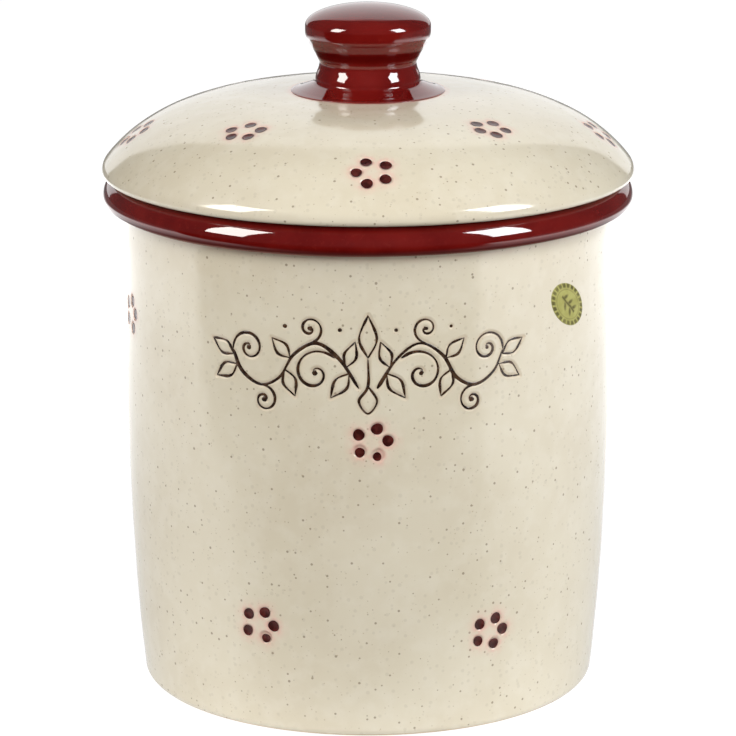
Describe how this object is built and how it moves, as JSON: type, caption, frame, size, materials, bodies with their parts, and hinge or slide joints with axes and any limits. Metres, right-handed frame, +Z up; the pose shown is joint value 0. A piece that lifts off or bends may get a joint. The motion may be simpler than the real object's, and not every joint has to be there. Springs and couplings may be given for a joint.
{
  "type": "rumtopf pot",
  "caption": "Stoneware fruit-preserving crock with a rolled red rim and a domed lid that lifts off by a turned red knob.",
  "frame": {"origin": "centre of the underside of the foot ring, on the surface that the pot stands on", "axes": "+Z up the pot's axis, the decorated front faces -Y, +X to the right as seen from the front"},
  "size_m": [0.2144, 0.2144, 0.2773],
  "materials": {
    "cream_glaze": "glossy cream glaze with fine brown speckles",
    "red_glaze": "glossy dark red glaze, paler where it breaks over edges",
    "dot_glaze": "glossy dark red glaze pooled in pressed dots",
    "bare_clay": "unglazed buff stoneware, matt",
    "seal_paper": "satin olive-green paper"
  },
  "bodies": {
    "crock_body": {"crock": "cream_glaze", "rim_roll": "red_glaze", "crock_dots": "dot_glaze", "seal": "seal_paper"},
    "lid_body": {"lid": "cream_glaze", "lid_flange": "bare_clay", "knob": "red_glaze", "lid_dots": "dot_glaze"}
  },
  "joints": [
    {"name": "lid_lift", "type": "slide", "parent": "crock_body", "child": "lid_body", "axis": [0, 0, 1], "range_m": [0, 0.15]}
  ]
}
